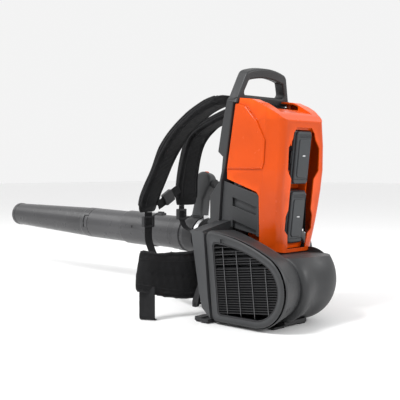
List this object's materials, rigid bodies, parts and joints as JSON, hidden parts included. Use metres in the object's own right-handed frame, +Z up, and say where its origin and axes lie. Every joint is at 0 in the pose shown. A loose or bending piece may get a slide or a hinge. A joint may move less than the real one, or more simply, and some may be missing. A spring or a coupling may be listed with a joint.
{
  "type": "backpack leaf blower",
  "caption": "Backpack leaf blower: padded harness frame, side intake fan housing, orange cover with two slide-in batteries, and a long air tube with a control handle.",
  "frame": {"origin": "on the ground, on the underside of the middle rubber foot, on the middle plane of the back frame", "axes": "+X wearer's right, +Y forward along the air tube, +Z up"},
  "size_m": [0.4515, 1.4076, 0.5836],
  "materials": {
    "orange_shell": "satin moulded plastic",
    "grey_plastic": "fine moulded grain",
    "dark_plastic": "fine moulded grain",
    "tube_plastic": "satin blown plastic",
    "battery_case": "moulded grain",
    "black_rubber": "matt rubber",
    "bright_steel": "bright",
    "cast_aluminium": "as cast",
    "copper_steel": "wound stator",
    "magnet_steel": "machined",
    "black_fabric": "woven pad cover",
    "webbing": "ribbed webbing"
  },
  "bodies": {
    "frame": {"back_frame": "grey_plastic", "intake_housing": "grey_plastic", "intake_grille": "dark_plastic", "fan_housing": "grey_plastic", "diffuser": "dark_plastic", "motor_can": "cast_aluminium", "motor_stator": "copper_steel", "bearings": "bright_steel", "battery_cover": "orange_shell", "left_side_panel": "grey_plastic", "right_side_panel": "grey_plastic", "vent_grille": "dark_plastic", "battery_bay": "orange_shell", "terminal_blocks": "dark_plastic", "controller": "cast_aluminium", "wiring_loom": "black_rubber", "cover_screws": "bright_steel", "base_skid": "dark_plastic", "rubber_feet": "black_rubber", "belt_anchors": "dark_plastic", "left_shoulder_pad": "black_fabric", "right_shoulder_pad": "black_fabric", "strap_adjusters": "dark_plastic", "lower_webbing": "webbing", "chest_strap": "webbing", "chest_buckle": "dark_plastic", "back_pad": "black_fabric", "lumbar_pad": "black_fabric", "left_hip_wing": "black_fabric", "right_hip_wing": "black_fabric", "hip_webbing": "webbing"},
    "fan": {"impeller": "dark_plastic", "motor_shaft": "bright_steel", "motor_rotor": "magnet_steel", "fan_nut": "bright_steel"},
    "elbow": {"outlet_elbow": "grey_plastic", "bellows": "black_rubber", "rear_hose_clamp": "bright_steel"},
    "tube": {"front_hose_clamp": "bright_steel", "base_pipe": "tube_plastic", "tube_collar": "tube_plastic", "mid_tube": "tube_plastic", "handle_clamp": "dark_plastic", "handle_shell_left": "grey_plastic", "handle_shell_right": "grey_plastic", "trigger_pin": "bright_steel", "speed_switch": "dark_plastic"},
    "nozzle": {"nozzle": "tube_plastic"},
    "lock_button": {"lock_button": "dark_plastic"},
    "trigger": {"trigger": "dark_plastic"},
    "speed_dial": {"speed_dial": "dark_plastic"},
    "stop_button": {"stop_button": "orange_shell"},
    "upper_battery": {"upper_battery": "battery_case"},
    "lower_battery": {"lower_battery": "battery_case"},
    "upper_latch_left": {"upper_latch_left": "dark_plastic"},
    "upper_latch_right": {"upper_latch_right": "dark_plastic"},
    "lower_latch_left": {"lower_latch_left": "dark_plastic"},
    "lower_latch_right": {"lower_latch_right": "dark_plastic"}
  },
  "joints": [
    {"name": "fan_spin", "type": "hinge", "parent": "frame", "child": "fan", "pos_m": [0, -0.038, 0.088], "axis": [1, 0, 0], "continuous": true},
    {"name": "elbow_pitch", "type": "hinge", "parent": "frame", "child": "elbow", "pos_m": [0.078, 0.048, 0.15], "axis": [1, 0, 0], "range_deg": [-35, 4]},
    {"name": "tube_yaw", "type": "hinge", "parent": "elbow", "child": "tube", "pos_m": [0.12688, 0.24699, 0.15567], "axis": [0, 0, 1], "range_deg": [-25, 0], "deforming": ["bellows"]},
    {"name": "nozzle_twist", "type": "hinge", "parent": "tube", "child": "nozzle", "pos_m": [0.11381, 0.8606, 0.17316], "axis": [-0.0213, 0.9994, 0.0285], "range_deg": [-30, 0]},
    {"name": "lock_button_press", "type": "slide", "parent": "tube", "child": "lock_button", "axis": [-0.0003, 0.0285, -0.9996], "range_m": [0, 0.0025], "stiffness_N_per_m": 1500, "springref_m": -0.001},
    {"name": "trigger_pull", "type": "hinge", "parent": "tube", "child": "trigger", "pos_m": [0.14763, 0.41782, 0.28623], "axis": [0.9813, 0.0263, -0.1904], "range_deg": [-12, 0], "stiffness_Nm_per_rad": 0.5, "springref_deg": 5.73},
    {"name": "speed_dial_turn", "type": "hinge", "parent": "tube", "child": "speed_dial", "pos_m": [0.15205, 0.37142, 0.30258], "axis": [0.0213, -0.9994, -0.0285], "range_deg": [0, 270]},
    {"name": "stop_button_press", "type": "slide", "parent": "tube", "child": "stop_button", "axis": [-0.1911, 0.0239, -0.9813], "range_m": [0, 0.0018], "stiffness_N_per_m": 1200, "springref_m": -0.001},
    {"name": "upper_battery_slide", "type": "slide", "parent": "frame", "child": "upper_battery", "axis": [0, -0.9936, -0.1132], "range_m": [0, 0.16]},
    {"name": "upper_latch_left_press", "type": "slide", "parent": "upper_battery", "child": "upper_latch_left", "axis": [1, 0, 0], "range_m": [0, 0.0025], "stiffness_N_per_m": 1500, "springref_m": -0.001},
    {"name": "upper_latch_right_press", "type": "slide", "parent": "upper_battery", "child": "upper_latch_right", "axis": [-1, 0, 0], "range_m": [0, 0.0025], "stiffness_N_per_m": 1500, "springref_m": -0.001},
    {"name": "lower_battery_slide", "type": "slide", "parent": "frame", "child": "lower_battery", "axis": [0, -0.9936, -0.1132], "range_m": [0, 0.16]},
    {"name": "lower_latch_left_press", "type": "slide", "parent": "lower_battery", "child": "lower_latch_left", "axis": [1, 0, 0], "range_m": [0, 0.0025], "stiffness_N_per_m": 1500, "springref_m": -0.001},
    {"name": "lower_latch_right_press", "type": "slide", "parent": "lower_battery", "child": "lower_latch_right", "axis": [-1, 0, 0], "range_m": [0, 0.0025], "stiffness_N_per_m": 1500, "springref_m": -0.001}
  ]
}
